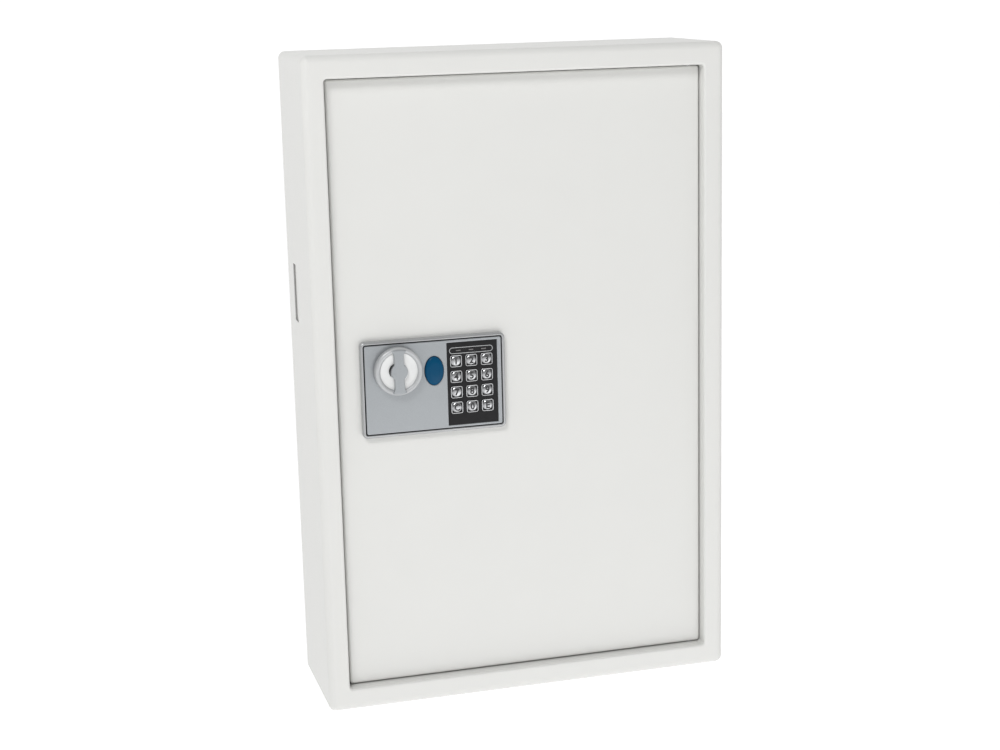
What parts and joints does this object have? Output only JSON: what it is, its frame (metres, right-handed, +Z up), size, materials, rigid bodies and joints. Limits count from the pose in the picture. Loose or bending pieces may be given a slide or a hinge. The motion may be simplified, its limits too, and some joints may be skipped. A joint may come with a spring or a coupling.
{
  "type": "key cabinet",
  "caption": "Wall-mounted steel key cabinet with a recessed hinged door, electronic keypad lock, turn knob, override cylinder, key return slot and rails of key hooks.",
  "frame": {"origin": "centre of the cabinet's back face, on the wall", "axes": "+Z up, the front with the door faces -Y, +X to the right as seen from the front"},
  "size_m": [0.358, 0.1111, 0.55],
  "materials": {
    "white_powder_coat": "warm white powder coat with a fine orange-peel texture, satin",
    "zinc_plated_steel": "zinc-plated steel",
    "black_rubber": "matt moulded rubber",
    "strip_paper": "printed white strip with plain numbers",
    "silver_paint_plastic": "silver metallic paint on plastic, satin",
    "black_plastic": "fine-grained black plastic",
    "lens_plastic": "dark tinted plastic",
    "cable_plastic": "grey flat cable",
    "board_laminate": "green circuit board",
    "battery_wrap": "plain wrapped cell with steel ends",
    "coil_wrap": "taped coil",
    "brass": "machined brass",
    "blue_plastic": "deep blue glossy plastic",
    "key_chrome": "bright metallised plastic"
  },
  "bodies": {
    "cabinet": {"cabinet_shell": "white_powder_coat", "back_panel": "white_powder_coat", "flap_bracket": "zinc_plated_steel", "hinge_brackets": "zinc_plated_steel", "door_stop_clips": "zinc_plated_steel", "door_bumpers": "black_rubber", "rail_uprights": "zinc_plated_steel", "number_strips": "strip_paper", "rail_screws": "zinc_plated_steel", "hook_rail_1": "white_powder_coat", "hook_rail_2": "white_powder_coat", "hook_rail_3": "white_powder_coat", "hook_rail_4": "white_powder_coat", "hook_rail_5": "white_powder_coat", "hook_rail_6": "white_powder_coat", "hook_rail_7": "white_powder_coat", "hook_rail_8": "white_powder_coat", "hook_rail_9": "white_powder_coat", "hook_rail_10": "white_powder_coat"},
    "door": {"door_pan": "white_powder_coat", "door_stiffener": "white_powder_coat", "hinge_blocks": "zinc_plated_steel", "hinge_pins": "zinc_plated_steel", "lock_bezel": "silver_paint_plastic", "lock_fascia": "silver_paint_plastic", "keypad_plate": "black_plastic", "led_lenses": "lens_plastic", "keypad_mat": "black_rubber", "ribbon_cable": "cable_plastic", "circuit_board": "board_laminate", "lock_housing": "black_plastic", "lock_fasteners": "zinc_plated_steel", "batteries": "battery_wrap", "battery_contacts": "zinc_plated_steel", "override_barrel": "zinc_plated_steel", "override_nut": "zinc_plated_steel", "solenoid": "coil_wrap"},
    "knob_set": {"knob": "silver_paint_plastic", "drive_cam": "zinc_plated_steel", "knob_screw": "zinc_plated_steel"},
    "bolt_set": {"bolt_bar": "zinc_plated_steel", "bolts": "zinc_plated_steel"},
    "battery_cover": {"battery_cover": "black_plastic"},
    "override_cap": {"override_cap": "blue_plastic"},
    "override_plug": {"override_plug": "brass", "override_cam": "zinc_plated_steel"},
    "solenoid_plunger": {"solenoid_plunger": "zinc_plated_steel"},
    "key_1": {"key_1": "key_chrome"},
    "key_2": {"key_2": "key_chrome"},
    "key_3": {"key_3": "key_chrome"},
    "key_4": {"key_4": "key_chrome"},
    "key_5": {"key_5": "key_chrome"},
    "key_6": {"key_6": "key_chrome"},
    "key_7": {"key_7": "key_chrome"},
    "key_8": {"key_8": "key_chrome"},
    "key_9": {"key_9": "key_chrome"},
    "key_clear": {"key_clear": "key_chrome"},
    "key_0": {"key_0": "key_chrome"},
    "key_enter": {"key_enter": "key_chrome"},
    "return_flap": {"return_flap": "white_powder_coat"}
  },
  "joints": [
    {"name": "door_hinge", "type": "hinge", "parent": "cabinet", "child": "door", "pos_m": [0.1515, -0.0938, 0], "axis": [0, 0, 1], "range_deg": [0, 100]},
    {"name": "return_flap_hinge", "type": "hinge", "parent": "cabinet", "child": "return_flap", "pos_m": [-0.1749, -0.046, 0.0749], "axis": [0, 0, -1], "range_deg": [0, 50], "stiffness_Nm_per_rad": 0.02},
    {"name": "knob_turn", "type": "hinge", "parent": "door", "child": "knob_set", "pos_m": [-0.109, -0.1, 0.016], "axis": [0, -1, 0], "range_deg": [0, 90]},
    {"name": "bolt_slide", "type": "slide", "parent": "door", "child": "bolt_set", "axis": [-1, 0, 0], "range_m": [0, 0.014]},
    {"name": "battery_cover_slide", "type": "slide", "parent": "door", "child": "battery_cover", "axis": [1, 0, 0], "range_m": [0, 0.07]},
    {"name": "override_cap_pull", "type": "slide", "parent": "door", "child": "override_cap", "axis": [0, -1, 0], "range_m": [0, 0.012]},
    {"name": "override_turn", "type": "hinge", "parent": "door", "child": "override_plug", "pos_m": [-0.0779, -0.096, 0.0132], "axis": [0, 1, 0], "range_deg": [0, 90]},
    {"name": "plunger_slide", "type": "slide", "parent": "door", "child": "solenoid_plunger", "axis": [0, -1, 0], "range_m": [0, 0.0035]},
    {"name": "key_1_press", "type": "slide", "parent": "door", "child": "key_1", "axis": [0, 1, 0], "range_m": [0, 0.001], "stiffness_N_per_m": 400},
    {"name": "key_2_press", "type": "slide", "parent": "door", "child": "key_2", "axis": [0, 1, 0], "range_m": [0, 0.001], "stiffness_N_per_m": 400},
    {"name": "key_3_press", "type": "slide", "parent": "door", "child": "key_3", "axis": [0, 1, 0], "range_m": [0, 0.001], "stiffness_N_per_m": 400},
    {"name": "key_4_press", "type": "slide", "parent": "door", "child": "key_4", "axis": [0, 1, 0], "range_m": [0, 0.001], "stiffness_N_per_m": 400},
    {"name": "key_5_press", "type": "slide", "parent": "door", "child": "key_5", "axis": [0, 1, 0], "range_m": [0, 0.001], "stiffness_N_per_m": 400},
    {"name": "key_6_press", "type": "slide", "parent": "door", "child": "key_6", "axis": [0, 1, 0], "range_m": [0, 0.001], "stiffness_N_per_m": 400},
    {"name": "key_7_press", "type": "slide", "parent": "door", "child": "key_7", "axis": [0, 1, 0], "range_m": [0, 0.001], "stiffness_N_per_m": 400},
    {"name": "key_8_press", "type": "slide", "parent": "door", "child": "key_8", "axis": [0, 1, 0], "range_m": [0, 0.001], "stiffness_N_per_m": 400},
    {"name": "key_9_press", "type": "slide", "parent": "door", "child": "key_9", "axis": [0, 1, 0], "range_m": [0, 0.001], "stiffness_N_per_m": 400},
    {"name": "key_clear_press", "type": "slide", "parent": "door", "child": "key_clear", "axis": [0, 1, 0], "range_m": [0, 0.001], "stiffness_N_per_m": 400},
    {"name": "key_0_press", "type": "slide", "parent": "door", "child": "key_0", "axis": [0, 1, 0], "range_m": [0, 0.001], "stiffness_N_per_m": 400},
    {"name": "key_enter_press", "type": "slide", "parent": "door", "child": "key_enter", "axis": [0, 1, 0], "range_m": [0, 0.001], "stiffness_N_per_m": 400}
  ],
  "couplings": [
    {"joint": "knob_turn", "follows": "bolt_slide", "rad_per_m": 112.2}
  ]
}
